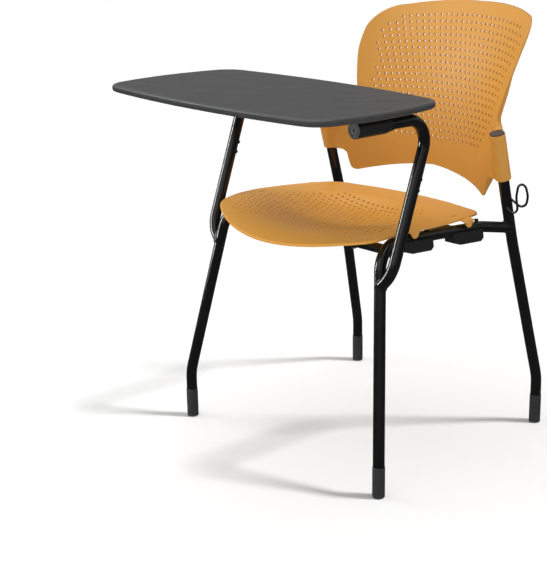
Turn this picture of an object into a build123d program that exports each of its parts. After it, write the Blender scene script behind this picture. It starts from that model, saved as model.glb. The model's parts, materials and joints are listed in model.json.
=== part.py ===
"""Stacking classroom chair with a flip-up writing tablet.

Millimetres, +Z up, floor at Z = 0. The chair faces -Y and +X is the sitter's left, the side that
carries the tablet's pivot. Y values in the tables below are measured from the floor point midway
between the four feet, which lies feet_y behind the origin.
"""
import math
import os

from build123d import *

os.makedirs("parts", exist_ok=True)

# ---------------------------------------------------------------- driving dimensions
feet_y = 39.1               # from the origin back to the middle of the feet

tube_r = 11.0               # all frame tubes are 22 mm outside
tube_bore_r = 9.0
crossbar_r = 9.5
crossbar_wall = 1.8
wire_r = 2.4

front_foot = (274.0, -243.0)
rear_foot = (262.0, 243.0)
foot_bend_z = 101.0
foot_bend_r = 130.0

glide_r = 11.9
glide_height = 61.0
glide_floor = 6.0
glide_toe_r = 2.5
glide_lip = 0.5

leg_top = (213.5, -179.0, 459.8)      # where a front leg turns back into the seat rail
leg_top_r = 56.0
rail_rear = (213.0, 104.0, 440.0)     # where the rail turns out to the rear leg
rail_rear_r = 40.0
rail_end = (240.0, 163.0, 432.0)

rear_knee = (240.0, 172.5, 403.0)     # where a rear leg straightens into the upright
rear_knee_r = 260.0
upright_lean = 0.265                  # forward per unit of height
upright_top_z = 619.0

arm_x = 252.0
arm_lean = 0.36                       # rearward per unit of height
arm_front_y = -272.0
elbow = (-90.0, 685.5)                # Y, Z of the arm's top corner
elbow_r = 42.0
arm_heel_z = 403.0
arm_heel_r = 58.0
arm_weld = (226.0, -192.6, 385.0)

seat_gauge = 3.5
back_gauge = 4.5
socket_r = 15.8
socket_bottom_z = 534.0
socket_top_z = 625.5
fit_gap = 0.15                        # between a plastic socket and the tube in it

tablet_z = 714.0                      # middle of the board's thickness
tablet_gauge = 12.7
tablet_y = -254.0
tablet_half_x = 308.5
tablet_half_y = 175.0
tablet_bow = 23.0                     # how far each edge bows outward
tablet_corner_r = 52.0
edge_band_width = 8.0
edge_band_r = 5.6

pivot_z = elbow[1]
housing_r = 15.2
housing_bore_r = 12.5
housing_front_y = -281.0
housing_rear_y = -203.0
bush_length = 18.0
running_gap = 0.05

pad_length = (-128.0, -50.0)          # front stacking pad, Y from and to
rear_pad_length = (9.0, 97.0)

sides = (("left", 1.0), ("right", -1.0))


# ---------------------------------------------------------------- helpers
def at(x, y, z):
    """A point from its distance behind the middle of the feet."""
    return Vector(x, feet_y + y, z)


def mirrored(point, side):
    return (side * point[0], point[1], point[2])


def finish(builder, name):
    builder.part.label = name
    export_step(builder.part, f"parts/{name}.step")


def bent_tube(points, radii, outer_r, bore_r=0.0, cutters=()):
    """A tube along straight runs joined by arcs, coped by the cutters."""
    with BuildPart() as tube:
        with BuildLine() as centreline:
            if len(points) > 2:
                FilletPolyline(*points, radius=radii)
            else:
                Line(*points)
        path = centreline.line
        with BuildSketch(Plane(origin=path @ 0, z_dir=path % 0)):
            Circle(outer_r)
            if bore_r:
                Circle(bore_r, mode=Mode.SUBTRACT)
        sweep(path=path)
        for cutter in cutters:
            add(cutter, mode=Mode.SUBTRACT)
    return tube


def disc(origin, direction, radius, length, bore=0.0):
    """A round piece from origin along direction."""
    with BuildPart() as piece:
        with BuildSketch(Plane(origin=origin, z_dir=direction)):
            Circle(radius)
            if bore:
                Circle(bore, mode=Mode.SUBTRACT)
        extrude(amount=length)
    return piece


def group(pieces, name):
    """Several separate solids of one kind as one node."""
    with BuildPart() as together:
        for piece in pieces:
            add(piece.part)
    finish(together, name)


# ---------------------------------------------------------------- frame geometry
def front_leg_points(side):
    x, y = front_foot
    points = ((x, y, glide_floor), (x, y, foot_bend_z), leg_top, rail_rear, rail_end)
    return [at(*mirrored(p, side)) for p in points]


def upright_y(z):
    return rear_knee[1] - (z - rear_knee[2]) * upright_lean


def rear_leg_points(side):
    x, y = rear_foot
    top = (rear_knee[0], upright_y(upright_top_z), upright_top_z)
    points = ((x, y, glide_floor), (x, y, foot_bend_z), rear_knee, top)
    return [at(*mirrored(p, side)) for p in points]


def arm_y(z):
    return elbow[0] - (elbow[1] - z) * arm_lean


def arm_points(side):
    front = (arm_x, arm_front_y, pivot_z)
    corner = (arm_x, elbow[0], elbow[1])
    heel = (arm_x, arm_y(arm_heel_z), arm_heel_z)
    return [at(*mirrored(p, side)) for p in (front, corner, heel, arm_weld)]


def front_leg_solid(side, radius):
    radii = [foot_bend_r, leg_top_r, rail_rear_r]
    return bent_tube(front_leg_points(side), radii, radius).part


def rear_leg_solid(side, radius):
    return bent_tube(rear_leg_points(side), [foot_bend_r, rear_knee_r], radius).part


upright_axis = Vector(0, -upright_lean, 1).normalized()
arm_axis = Vector(0, arm_lean, 1).normalized()


def rail_point(y):
    """Centre of the left side rail at a distance behind the feet's middle."""
    t = (y - leg_top[1]) / (rail_rear[1] - leg_top[1])
    return tuple(a + (b - a) * t for a, b in zip(leg_top, rail_rear))


# ---------------------------------------------------------------- legs, rails, uprights
def make_legs():
    for name, side in sides:
        rear_core = rear_leg_solid(side, tube_r)
        radii = [foot_bend_r, leg_top_r, rail_rear_r]
        front = bent_tube(front_leg_points(side), radii, tube_r, tube_bore_r, (rear_core,))
        finish(front, f"front_leg_rail_{name}")
        rear = bent_tube(rear_leg_points(side), [foot_bend_r, rear_knee_r], tube_r, tube_bore_r)
        finish(rear, f"rear_leg_{name}")


front_bar = (-152.0, 441.0)      # Y, Z of the front crossbar
rear_bar = (60.0, 433.5)


def make_crossbars():
    cores = [front_leg_solid(side, tube_r) for _, side in sides]
    for name, (y, z) in (("front_crossbar", front_bar), ("rear_crossbar", rear_bar)):
        ends = [at(-rail_rear[0], y, z), at(rail_rear[0], y, z)]
        finish(bent_tube(ends, [], crossbar_r, crossbar_r - crossbar_wall, cores), name)


def make_glides():
    for where, (x, y) in (("front", front_foot), ("rear", rear_foot)):
        for name, side in sides:
            with BuildPart() as glide:
                with BuildSketch(Plane(origin=at(side * x, y, 0))):
                    Circle(glide_r)
                extrude(amount=glide_height)
                fillet(glide.edges().group_by(Axis.Z)[0], glide_toe_r)
                chamfer(glide.edges().group_by(Axis.Z)[-1], glide_lip)
                with BuildSketch(Plane(origin=at(side * x, y, glide_floor))):
                    Circle(tube_r)
                extrude(amount=glide_height, mode=Mode.SUBTRACT)
            finish(glide, f"glide_{where}_{name}")


# ---------------------------------------------------------------- arms
def make_arms():
    for name, side in sides:
        leg_core = front_leg_solid(side, tube_r)
        arm = bent_tube(arm_points(side), [elbow_r, arm_heel_r], tube_r, tube_bore_r, (leg_core,))
        finish(arm, f"arm_{name}")


bumper_heights = (579.0, 560.0)
bumper_r = 4.0
bumper_height = 5.0
bumper_tip_r = 2.6


def make_arm_bumpers():
    pieces = []
    for _, side in sides:
        outward = Vector(0, 1, -arm_lean).normalized()
        for z in bumper_heights:
            base = at(side * arm_x, arm_y(z), z) + outward * tube_r
            with BuildPart() as bumper:
                with BuildSketch(Plane(origin=base, z_dir=outward)):
                    Circle(bumper_r)
                extrude(amount=bumper_height)
                tip = bumper.faces().sort_by_distance(base + outward * bumper_height)[0]
                fillet(tip.edges(), bumper_tip_r)
            pieces.append(bumper)
    group(pieces, "arm_bumpers")


rest_pad_half = (13.0, 20.0)
rest_pad_corner_r = 5.0
rest_pad_edge_r = 1.5
rest_pad_y = -240.0
rest_pad_foot_z = pivot_z + 2.0
rest_pad_gap = 0.2                # under the lowered tablet
arm_plug_head = 3.0
arm_plug_length = 14.0


def make_rest_pad():
    """The rubber saddle on the right arm that the tablet lies on."""
    top = tablet_z - tablet_gauge / 2 - rest_pad_gap
    reach = 2 * rest_pad_half[1]
    with BuildPart() as pad:
        with BuildSketch(Plane(origin=at(-arm_x, rest_pad_y, rest_pad_foot_z))):
            RectangleRounded(2 * rest_pad_half[0], 2 * rest_pad_half[1], rest_pad_corner_r)
        extrude(amount=top - rest_pad_foot_z)
        fillet(pad.edges().group_by(Axis.Z)[-1], rest_pad_edge_r)
        with BuildSketch(Plane(origin=at(-arm_x, rest_pad_y - reach, pivot_z), z_dir=(0, 1, 0))):
            Circle(tube_r)
        extrude(amount=2 * reach, mode=Mode.SUBTRACT)
    finish(pad, "tablet_rest_pad")
    with BuildPart() as plug:
        with BuildSketch(Plane(origin=at(-arm_x, arm_front_y, pivot_z), z_dir=(0, -1, 0))):
            Circle(tube_r)
        extrude(amount=arm_plug_head)
        fillet(plug.edges().group_by(Axis.Y)[0], arm_plug_head / 2)
        with BuildSketch(Plane(origin=at(-arm_x, arm_front_y, pivot_z), z_dir=(0, 1, 0))):
            Circle(tube_bore_r)
        extrude(amount=arm_plug_length)
    finish(plug, "arm_end_plug")


# ---------------------------------------------------------------- stacking pads under the rails
pad_drop = 27.5
pad_half_width = (11.5, 13.2)     # inward, outward of the rail's centre
peg_r = 4.0
pad_edge_r = 1.2
peg_height = 5.0
peg_inset = 5.0                   # forward of each pad's rear end
peg_gap = 0.4                     # above the tube's crown


def make_stacking_pads():
    pegs = []
    bar_core = disc(at(-rail_rear[0], *rear_bar), (1, 0, 0), crossbar_r, 2 * rail_rear[0]).part
    for where, (y0, y1) in (("front", pad_length), ("rear", rear_pad_length)):
        for name, side in sides:
            core = front_leg_solid(side, tube_r)
            (x0, _, z0), (_, _, z1) = rail_point(y0), rail_point(y1)
            inner, outer = side * (x0 - pad_half_width[0]), side * (x0 + pad_half_width[1])
            with BuildPart() as pad:
                with BuildSketch(Plane(origin=at(min(inner, outer), 0, 0), x_dir=(0, 1, 0), z_dir=(1, 0, 0))):
                    with BuildLine():
                        Polyline((y0, z0 - 2), (y1, z1 - 2), (y1 + 3, z1 - pad_drop + 8),
                                 (y1 - 4, z1 - pad_drop + 2), (y0 + 22, z0 - pad_drop),
                                 (y0 + 4, z0 - pad_drop + 6), close=True)
                    make_face()
                extrude(amount=sum(pad_half_width))
                low_edges = pad.edges().filter_by(GeomType.LINE).group_by(Axis.Z)[0]
                fillet(low_edges, pad_edge_r)
                add(core, mode=Mode.SUBTRACT)
                add(bar_core, mode=Mode.SUBTRACT)
            finish(pad, f"stacking_pad_{where}_{name}")
            px, py, pz = rail_point(y1 - peg_inset)
            pegs.append(disc(at(side * px, py, pz + tube_r + peg_gap), (0, 0, 1), peg_r, peg_height))
    group(pegs, "pad_pegs")


# ---------------------------------------------------------------- seat shell
seat_rim_z = 469.5
seat_tilt = 0.05
seat_dish = 23.0
seat_side_rise = 4.0
seat_centre_y = -50.0
seat_half_x = 229.0
seat_half_front = 225.0
seat_half_rear = 160.0
seat_front_corner = (218.0, -197.0)
seat_rear_corner = (195.0, 126.0)
seat_front_y = -276.0
seat_rear_y = 160.0
seat_corner_r = 62.0
waterfall_y = -130.0
waterfall_run = 150.0
waterfall_drop = 36.0


def smooth_step(value):
    value = min(max(value, 0.0), 1.0)
    return value * value * (3 - 2 * value)


def seat_height(x, y):
    """Top face of the seat: a raised border round a pan that is steep at the rear and rolls down in front."""
    half_y = seat_half_front if y < seat_centre_y else seat_half_rear
    radius = math.hypot(x / seat_half_x, (y - seat_centre_y) / half_y)
    steepness = 1 + 1.5 * smooth_step((y + 60) / 100)
    border = smooth_step((radius - 0.20) / 0.66) ** steepness
    roll = max(0.0, (waterfall_y - y) / waterfall_run)
    rise = smooth_step((abs(x) - 140) / 85) * smooth_step((y + 190) / 110) * smooth_step((175 - y) / 90)
    flat = seat_rim_z - seat_tilt * (y - seat_centre_y) + seat_side_rise * rise
    return flat - seat_dish * (1 - border) - waterfall_drop * roll * roll


def seat_outline(inset=0.0):
    """The seat's plan as one closed sketch face, or the same plan a little smaller."""
    front_x, front_y = seat_front_corner[0] - inset, feet_y + seat_front_corner[1] + inset
    rear_x, rear_y = seat_rear_corner[0] - inset, feet_y + seat_rear_corner[1] - inset
    front_end, rear_end = feet_y + seat_front_y + inset, feet_y + seat_rear_y - inset
    widest, middle = seat_half_x - inset, feet_y + seat_centre_y + 5
    with BuildSketch() as plan:
        with BuildLine():
            front = ThreePointArc((-front_x, front_y), (0, front_end), (front_x, front_y))
            left = ThreePointArc(front @ 1, (widest, middle), (rear_x, rear_y))
            rear = ThreePointArc(left @ 1, (0, rear_end), (-rear_x, rear_y))
            ThreePointArc(rear @ 1, (-widest, middle), front @ 0)
        make_face()
        fillet(plan.vertices(), seat_corner_r - inset)
    return plan.sketch


surface_margin = 24.0         # how far the sheets run past their outlines before they are trimmed
trim_reach = 600.0            # taller and deeper than either shell


def spaced(start, end, steps):
    return [start + (end - start) * k / steps for k in range(steps + 1)]


def seat_face():
    steps = 22
    wide = seat_half_x + surface_margin
    rows = []
    for y in spaced(seat_front_y - surface_margin, seat_rear_y + surface_margin, steps):
        rows.append([at(x, y, seat_height(x, y)) for x in spaced(-wide, wide, steps)])
    return Face.make_surface_from_array_of_points(rows, tol=0.2, min_deg=3, max_deg=3)


seat_lip_gauge = 3.0
seat_lip_depth = 5.0
lug_ys = (-102.0, 52.0)
lug_x = 227.5                 # just outside the rails
lug_edge_x = 218.0            # where the seat's height over a lug is taken
lug_gauge = 4.5
lug_drop = 14.0
lug_half_top = 14.0
lug_half_tip = (3.0, 6.0)     # forward, rearward
shelf_x = 206.0               # inner end of the shelf that joins a lug to the seat
shelf_gauge = 3.0
slot_places = ((206.0, -93.0), (191.0, 50.0))
slot_size = (17.0, 5.0)
seat_boss_x = 120.0
seat_boss_r = 9.0
boss_overlap = 2.5            # how far a boss wraps its crossbar
screw_head = (5.5, 2.6)       # radius, height


def make_seat():
    surface, plan, inner_plan = seat_face(), seat_outline(), seat_outline(seat_lip_gauge)
    with BuildPart() as lip:
        thicken(surface, amount=seat_lip_depth, normal_override=(0, 0, -1))
        with BuildSketch():
            add(plan)
            add(inner_plan, mode=Mode.SUBTRACT)
        extrude(amount=trim_reach, mode=Mode.INTERSECT)
    with BuildPart() as seat:
        thicken(surface, amount=seat_gauge, normal_override=(0, 0, -1))
        with BuildSketch():
            add(plan)
        extrude(amount=trim_reach, mode=Mode.INTERSECT)
        add(lip.part)
        for _, side in sides:
            for y in lug_ys:
                top = seat_height(lug_edge_x, y) - seat_gauge / 2
                tip = top - lug_drop - seat_gauge / 2
                inner_face = at(side * lug_x - lug_gauge / 2, y, 0)
                with BuildSketch(Plane(origin=inner_face, x_dir=(0, 1, 0), z_dir=(1, 0, 0))):
                    with BuildLine():
                        Polyline((-lug_half_top, top), (lug_half_top, top), (lug_half_tip[1], tip),
                                 (-lug_half_tip[0], tip), close=True)
                    make_face()
                extrude(amount=lug_gauge)
                outer_x = lug_x + lug_gauge / 2
                with BuildSketch(Plane(origin=at(side * (shelf_x + outer_x) / 2, y, top - shelf_gauge))):
                    Rectangle(outer_x - shelf_x, 2 * lug_half_top)
                extrude(amount=shelf_gauge)
            for x, y in slot_places:
                with BuildSketch(Plane(origin=at(side * x, y, seat_rim_z))):
                    SlotOverall(*slot_size, rotation=90)
                extrude(amount=seat_dish, both=True, mode=Mode.SUBTRACT)
            for y, z in (front_bar, rear_bar):
                foot = z + crossbar_r - boss_overlap
                with BuildSketch(Plane(origin=at(side * seat_boss_x, y, foot))):
                    Circle(seat_boss_r)
                extrude(amount=seat_height(seat_boss_x, y) - seat_gauge / 2 - foot)
        for y, z in (front_bar, rear_bar):
            with BuildSketch(Plane(origin=at(-rail_rear[0], y, z), z_dir=(1, 0, 0))):
                Circle(crossbar_r)
            extrude(amount=2 * rail_rear[0], mode=Mode.SUBTRACT)
    finish(seat, "seat_shell")
    screws = []
    for _, side in sides:
        for y, z in (front_bar, rear_bar):
            screws.append(disc(at(side * seat_boss_x, y, z - crossbar_r), (0, 0, -1), *screw_head))
    group(screws, "seat_screws")


# ---------------------------------------------------------------- back shell
def back_depth(x, z):
    """How far behind the feet's middle the back's front face lies."""
    h = (z - 700.0) / 100.0
    spine = 252.0 + 44.6 * h + 11.7 * h * h + 1.0 * h ** 3
    return spine - 1.17e-3 * x * x - 1.21e-8 * x ** 4


back_low_z = 470.0            # the sheet's lower and upper limits before it is trimmed
back_high_z = 870.0


def back_face():
    steps = 12
    wide = rear_knee[0] + surface_margin
    grid = []
    for z in spaced(back_low_z, back_high_z, steps):
        grid.append([at(x, back_depth(x, z), z) for x in spaced(-wide, wide, steps)])
    return Face.make_surface_from_array_of_points(grid, tol=0.2, min_deg=3, max_deg=3)


def back_outline():
    """Front view of the back, wide enough at the sockets to reach the uprights."""
    with BuildSketch(Plane.XZ) as view:
        with BuildLine() as half:
            top = ThreePointArc((0, 845.5), (88, 843), (166, 832))
            corner = ThreePointArc(top @ 1, (203, 814), (215, 781))
            flank = Spline(corner @ 1, (213, 742), (204, 696), (195, 652), tangents=((0, -1), (-0.1, -1)))
            ThreePointArc(flank @ 1, (198, 634), (212, 628))
            Polyline((212, 628), (240, 624), (240, 536), (212, 536))
            ThreePointArc((212, 536), (199, 530), (194, 516))
            Line((194, 516), (188, 497))
            ThreePointArc((188, 497), (182, 489.5), (172, 488.5))
            ThreePointArc((172, 488.5), (92, 506), (0, 517))
            mirror(half.line, about=Plane.YZ)
        make_face()
    return view.sketch


back_flange_gauge = 3.2
back_flange_depth = 15.0
flange_inner_x = 170.0        # the turned-back edge runs outward from here,
flange_top_z = 715.0          # and up to here
back_screw_z = 560.0
back_screw_head = (4.8, 2.6)  # radius, height
cap_inset = 1.1
cap_gauge = 2.4
cap_edge_r = 1.2
cap_plug_length = 16.0


def make_back():
    surface, view = back_face(), back_outline()
    flanges = []
    for _, side in sides:
        with BuildPart() as flange:
            thicken(surface, amount=back_flange_depth, normal_override=(0, 1, 0))
            with BuildSketch(Plane.XZ):
                add(view)
                add(view.moved(Location((-side * back_flange_gauge, 0, 0))), mode=Mode.SUBTRACT)
                with Locations((side * (flange_inner_x + rear_knee[0]) / 2, (back_low_z + flange_top_z) / 2)):
                    Rectangle(rear_knee[0] - flange_inner_x, flange_top_z - back_low_z, mode=Mode.INTERSECT)
            extrude(amount=trim_reach, both=True, mode=Mode.INTERSECT)
        flanges.append(flange.part)
    with BuildPart() as back:
        thicken(surface, amount=back_gauge, normal_override=(0, 1, 0))
        with BuildSketch(Plane.XZ):
            add(view)
        extrude(amount=trim_reach, both=True, mode=Mode.INTERSECT)
        add(flanges)
        for _, side in sides:
            foot = at(side * rear_knee[0], upright_y(socket_bottom_z), socket_bottom_z)
            length = (socket_top_z - socket_bottom_z) / upright_axis.Z
            with BuildSketch(Plane(origin=foot, z_dir=upright_axis)):
                Circle(socket_r)
            extrude(amount=length)
            with BuildSketch(Plane(origin=foot - upright_axis * socket_r, z_dir=upright_axis)):
                Circle(tube_r + fit_gap)
            extrude(amount=length + 2 * socket_r, mode=Mode.SUBTRACT)
    finish(back, "back_shell")

    screws = []
    backward = Vector(0, 1, upright_lean).normalized()
    for name, side in sides:
        top = at(side * rear_knee[0], upright_y(socket_top_z), socket_top_z)
        with BuildPart() as cap:
            with BuildSketch(Plane(origin=top, z_dir=upright_axis)):
                Circle(socket_r - cap_inset)
            extrude(amount=cap_gauge)
            rim = cap.edges().filter_by(GeomType.CIRCLE).sort_by_distance(top + upright_axis * cap_gauge)[0]
            fillet(rim, cap_edge_r)
            with BuildSketch(Plane(origin=top, z_dir=-upright_axis)):
                Circle(tube_bore_r)
            extrude(amount=cap_plug_length)
        finish(cap, f"socket_cap_{name}")
        seat = at(side * rear_knee[0], upright_y(back_screw_z), back_screw_z) + backward * socket_r
        screws.append(disc(seat, backward, *back_screw_head))
    group(screws, "back_screws")


# ---------------------------------------------------------------- ganging loop
def make_ganging_loop():
    """A wire eye that hooks a row of chairs together, welded to the left upright."""
    near, far = 145.0, 150.5
    route = ((240, near, 481), (258, near, 466.5), (272.5, near, 474), (265.0, 148, 500), (269.5, 148, 524.5),
             (285.0, 148, 529.5), (293.5, 148, 508), (288.5, far, 487.5), (274.5, far, 481.5), (240, far, 499))
    with BuildPart() as loop:
        with BuildLine() as centreline:
            FilletPolyline(*[at(*p) for p in route], radius=[9, 7, 9, 7, 7, 9, 7, 7])
        path = centreline.line
        with BuildSketch(Plane(origin=path @ 0, z_dir=path % 0)):
            Circle(wire_r)
        sweep(path=path)
        add(rear_leg_solid(1.0, tube_r), mode=Mode.SUBTRACT)
    finish(loop, "ganging_loop")


# ---------------------------------------------------------------- tablet
def tablet_plan(inset=0.0):
    wide, deep = tablet_half_x - inset, tablet_half_y - inset
    hx, hy = wide - tablet_bow, deep - tablet_bow
    middle = feet_y + tablet_y
    with BuildSketch() as plan:
        with BuildLine():
            front = ThreePointArc((-hx, middle - hy), (0, middle - deep), (hx, middle - hy))
            left = ThreePointArc(front @ 1, (wide, middle), (hx, middle + hy))
            rear = ThreePointArc(left @ 1, (0, middle + deep), (-hx, middle + hy))
            ThreePointArc(rear @ 1, (-wide, middle), front @ 0)
        make_face()
        fillet(plan.vertices(), tablet_corner_r - inset)
    return plan.sketch


def make_tablet():
    underside = tablet_z - tablet_gauge / 2
    plan, inner_plan = tablet_plan(), tablet_plan(edge_band_width)
    with BuildPart() as band:
        with BuildSketch(Plane.XY.offset(underside)):
            add(plan)
        extrude(amount=tablet_gauge)
        fillet(band.edges().group_by(Axis.Z)[0] + band.edges().group_by(Axis.Z)[-1], edge_band_r)
        with BuildSketch(Plane.XY.offset(underside)):
            add(inner_plan)
        extrude(amount=tablet_gauge, mode=Mode.SUBTRACT)
    finish(band, "tablet_edge_band")
    with BuildPart() as board:
        with BuildSketch(Plane.XY.offset(underside)):
            add(inner_plan)
        extrude(amount=tablet_gauge)
    finish(board, "tablet_board")


# ---------------------------------------------------------------- tablet pivot on the left arm
plate_gauge = 3.0
plate_half = (27.0, 44.0)
plate_corner_r = 6.0
plate_shift = -2.0            # of the plate's middle, from the housing's middle
saddle_half = 10.5
saddle_inset = 8.0            # from each end of the housing
housing_taper = (10.0, 2.2)   # along the axis, across it
cap_head = 4.0
cap_head_r = 1.4
cap_spigot = 2.5
ring_groove = (11.0, 9.9, 0.8)    # outer and inner radius, depth
cap_hole_r = 1.9
washer_size = (11.9, 1.8, 3.1)    # radius, gauge, hole radius
spindle_head = (5.4, 3.2)         # radius, height
spindle_shank = (3.0, 15.0)
insert_length = 20.0
collar_size = (13.0, 5.0)         # radius, length
collar_gap = 0.4
tablet_screw_head = (3.8, 2.2)
tablet_screw_x = 21.0
tablet_screw_y = 36.0


def make_pivot():
    underside = tablet_z - tablet_gauge / 2
    length = housing_rear_y - housing_front_y
    plate_y = (housing_front_y + housing_rear_y) / 2 + plate_shift
    front = at(arm_x, housing_front_y, pivot_z)
    rearward = (0, 1, 0)
    with BuildPart() as housing:
        with BuildSketch(Plane(origin=front, z_dir=rearward)):
            Circle(housing_r)
        extrude(amount=length)
        rear_rim = housing.edges().filter_by(GeomType.CIRCLE).group_by(Axis.Y)[-1]
        chamfer(rear_rim, length=housing_taper[0], length2=housing_taper[1])
        with BuildSketch(Plane(origin=at(arm_x, plate_y, pivot_z))):
            Rectangle(2 * saddle_half, length - 2 * saddle_inset)
        extrude(amount=underside - plate_gauge - pivot_z)
        with BuildSketch(Plane(origin=at(arm_x, plate_y, underside - plate_gauge))):
            RectangleRounded(2 * plate_half[0], 2 * plate_half[1], plate_corner_r)
        extrude(amount=plate_gauge)
        with BuildSketch(Plane(origin=front, z_dir=rearward)):
            Circle(housing_bore_r)
        extrude(amount=length, mode=Mode.SUBTRACT)
    finish(housing, "pivot_housing")

    with BuildPart() as cap:
        with BuildSketch(Plane(origin=front, z_dir=(0, -1, 0))):
            Circle(housing_r)
        extrude(amount=cap_head)
        fillet(cap.edges().group_by(Axis.Y)[0], cap_head_r)
        with BuildSketch(Plane(origin=front + Vector(0, -cap_head, 0), z_dir=rearward)):
            Circle(ring_groove[0])
            Circle(ring_groove[1], mode=Mode.SUBTRACT)
        extrude(amount=ring_groove[2], mode=Mode.SUBTRACT)
        with BuildSketch(Plane(origin=front, z_dir=rearward)):
            Circle(housing_bore_r)
        extrude(amount=cap_spigot)
        with BuildSketch(Plane(origin=front + Vector(0, -cap_head, 0), z_dir=rearward)):
            Circle(cap_hole_r)
        extrude(amount=cap_head + cap_spigot, mode=Mode.SUBTRACT)
    finish(cap, "pivot_end_cap")

    bush_front = at(arm_x, arm_front_y + 0.6, pivot_z)
    bush_rear = at(arm_x, housing_rear_y - bush_length, pivot_z)
    for name, origin in (("front_bush", bush_front), ("rear_bush", bush_rear)):
        finish(disc(origin, rearward, housing_bore_r, bush_length, tube_r + running_gap), name)

    arm_end = at(arm_x, arm_front_y, pivot_z)
    finish(disc(arm_end, (0, -1, 0), *washer_size), "retaining_washer")
    head_face = arm_end - Vector(0, washer_size[1], 0)
    with BuildPart() as spindle_screw:
        with BuildSketch(Plane(origin=head_face, z_dir=(0, -1, 0))):
            Circle(spindle_head[0])
        extrude(amount=spindle_head[1])
        with BuildSketch(Plane(origin=head_face, z_dir=rearward)):
            Circle(spindle_shank[0])
        extrude(amount=spindle_shank[1])
    finish(spindle_screw, "spindle_screw")
    finish(disc(arm_end, rearward, tube_bore_r, insert_length, spindle_shank[0]), "spindle_insert")
    collar_face = at(arm_x, housing_rear_y + collar_gap, pivot_z)
    finish(disc(collar_face, rearward, *collar_size, tube_r), "thrust_collar")

    screws = []
    for dx in (-tablet_screw_x, tablet_screw_x):
        for dy in (-tablet_screw_y, tablet_screw_y):
            seat = at(arm_x + dx, plate_y + dy, underside - plate_gauge)
            screws.append(disc(seat, (0, 0, -1), *tablet_screw_head))
    group(screws, "tablet_screws")


make_legs()
make_crossbars()
make_glides()
make_arms()
make_arm_bumpers()
make_rest_pad()
make_stacking_pads()
make_seat()
make_back()
make_ganging_loop()
make_tablet()
make_pivot()
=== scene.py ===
"""Student desk chair with a flip-up writing tablet: its looks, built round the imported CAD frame.

Metres, +Z up, the sitter faces -Y and +X is the sitter's left. Plan and height values with the ending
_mm are millimetres, with Y measured from the floor point midway between the four feet, as in the CAD.
"""
import json
import math

import bmesh
import bpy
import numpy as np
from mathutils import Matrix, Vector
from mathutils.geometry import delaunay_2d_cdt, interpolate_bezier

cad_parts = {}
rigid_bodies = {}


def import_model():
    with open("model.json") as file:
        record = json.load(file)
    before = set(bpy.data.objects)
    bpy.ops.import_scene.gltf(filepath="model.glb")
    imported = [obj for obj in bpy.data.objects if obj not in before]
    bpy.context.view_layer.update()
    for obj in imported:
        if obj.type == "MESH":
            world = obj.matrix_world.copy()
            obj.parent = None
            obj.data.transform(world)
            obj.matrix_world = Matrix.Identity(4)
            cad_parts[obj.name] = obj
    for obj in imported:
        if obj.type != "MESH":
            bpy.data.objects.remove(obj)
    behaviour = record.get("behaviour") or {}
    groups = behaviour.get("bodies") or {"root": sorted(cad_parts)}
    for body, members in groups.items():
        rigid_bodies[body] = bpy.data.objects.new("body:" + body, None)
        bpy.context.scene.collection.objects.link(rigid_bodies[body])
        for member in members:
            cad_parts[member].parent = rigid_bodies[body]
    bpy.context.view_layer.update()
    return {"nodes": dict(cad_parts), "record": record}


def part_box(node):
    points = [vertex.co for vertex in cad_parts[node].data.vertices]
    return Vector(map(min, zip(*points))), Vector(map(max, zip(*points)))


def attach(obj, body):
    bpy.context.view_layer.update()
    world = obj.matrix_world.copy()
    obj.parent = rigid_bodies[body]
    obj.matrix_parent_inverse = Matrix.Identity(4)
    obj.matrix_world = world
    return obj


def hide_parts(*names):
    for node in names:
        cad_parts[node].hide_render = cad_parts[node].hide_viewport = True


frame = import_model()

MM = 0.001
nodes = frame["nodes"]
scene = bpy.context.scene


def node_centre(name):
    low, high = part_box(name)
    return (low + high) / 2


feet_y = (node_centre("glide_front_left").y + node_centre("glide_rear_left").y) / 2


def at(x_mm, y_mm, z_mm):
    """A point in the shared frame from plan and height values in millimetres."""
    return Vector((x_mm * MM, feet_y + y_mm * MM, z_mm * MM))


# ---------------------------------------------------------------- camera
camera_lens_mm = 81.2
camera_sensor_mm = 36.0
camera_shift = (-0.1425, -0.002)
camera_place = (1.772, -1.7706, 1.0826)
camera_look_down = 17.29
camera_look_round = 44.85

camera_data = bpy.data.cameras.new("photo_camera")
camera_data.lens = camera_lens_mm
camera_data.sensor_width = camera_sensor_mm
camera_data.shift_x, camera_data.shift_y = camera_shift
camera = bpy.data.objects.new("photo_camera", camera_data)
camera.location = camera_place
camera.rotation_euler = (math.radians(90 - camera_look_down), 0, math.radians(camera_look_round))
scene.collection.objects.link(camera)
scene.camera = camera


# ---------------------------------------------------------------- studio
chair_middle = (0, 0, 0.45)
floor_half = 200.0
floor_grey = 0.51
sky_level = 0.42
mirrored_sky_range = (("From Min", 0.02), ("From Max", 0.22), ("To Min", 0.07), ("To Max", 0.40))


def area_light(name, place, target, size, power):
    data = bpy.data.lights.new(name, "AREA")
    data.shape = "RECTANGLE"
    data.size, data.size_y = size
    data.energy = power
    light = bpy.data.objects.new(name, data)
    light.location = place
    light.rotation_euler = (Vector(target) - Vector(place)).to_track_quat("-Z", "Y").to_euler()
    scene.collection.objects.link(light)
    return light


def soft_sun(name, way, strength, spread):
    """A distant lamp that shines along a direction, spread in degrees."""
    data = bpy.data.lights.new(name, "SUN")
    data.energy = strength
    data.angle = math.radians(spread)
    lamp = bpy.data.objects.new(name, data)
    lamp.rotation_euler = Vector(way).to_track_quat("-Z", "Y").to_euler()
    scene.collection.objects.link(lamp)
    return lamp


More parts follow.
